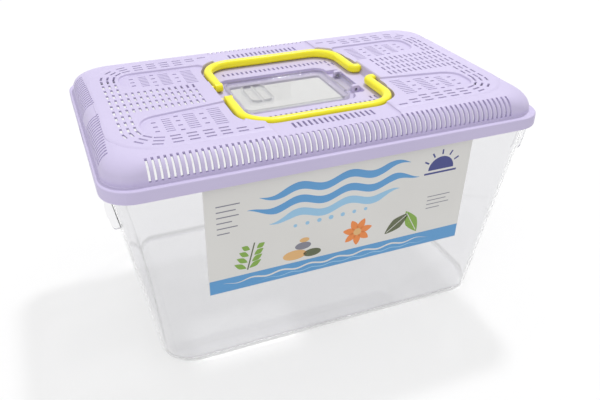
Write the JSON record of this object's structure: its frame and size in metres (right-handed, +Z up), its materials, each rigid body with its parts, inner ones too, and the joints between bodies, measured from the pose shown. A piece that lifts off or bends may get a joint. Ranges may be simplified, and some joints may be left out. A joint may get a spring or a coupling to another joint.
{
  "type": "plastic pet keeper",
  "caption": "Clear tapered plastic tub with a slotted lavender lid, a clear hinged feeding flap and two yellow fold-down carry handles, for keeping small animals.",
  "frame": {"origin": "middle of the box round the whole keeper, on the plane it stands on", "axes": "+Z up, +X along the keeper's length towards the flap's hinge, -Y towards the label on the front"},
  "size_m": [0.335, 0.212, 0.1835],
  "materials": {
    "clear_plastic": "clear moulded plastic, polished",
    "lavender_plastic": "opaque moulded plastic, fine satin",
    "yellow_plastic": "opaque moulded plastic, satin",
    "printed_card": "smooth printed paper"
  },
  "bodies": {
    "tub": {"tank": "clear_plastic", "label": "printed_card"},
    "lid": {"lid": "lavender_plastic"},
    "flap": {"window_flap": "clear_plastic"},
    "rear_handle": {"handle_rear": "yellow_plastic"},
    "front_handle": {"handle_front": "yellow_plastic"}
  },
  "joints": [
    {"name": "lid_lift", "type": "slide", "parent": "tub", "child": "lid", "axis": [0, 0, 1], "range_m": [0, 0.08]},
    {"name": "flap_hinge", "type": "hinge", "parent": "lid", "child": "flap", "pos_m": [0.0463, 0, 0.1748], "axis": [0, 1, 0], "range_deg": [0, 30]},
    {"name": "rear_handle_pivot", "type": "hinge", "parent": "lid", "child": "rear_handle", "pos_m": [0, 0.0135, 0.1797], "axis": [1, 0, 0], "range_deg": [0, 90]},
    {"name": "front_handle_pivot", "type": "hinge", "parent": "lid", "child": "front_handle", "pos_m": [0, -0.0135, 0.1797], "axis": [-1, 0, 0], "range_deg": [0, 90]}
  ]
}
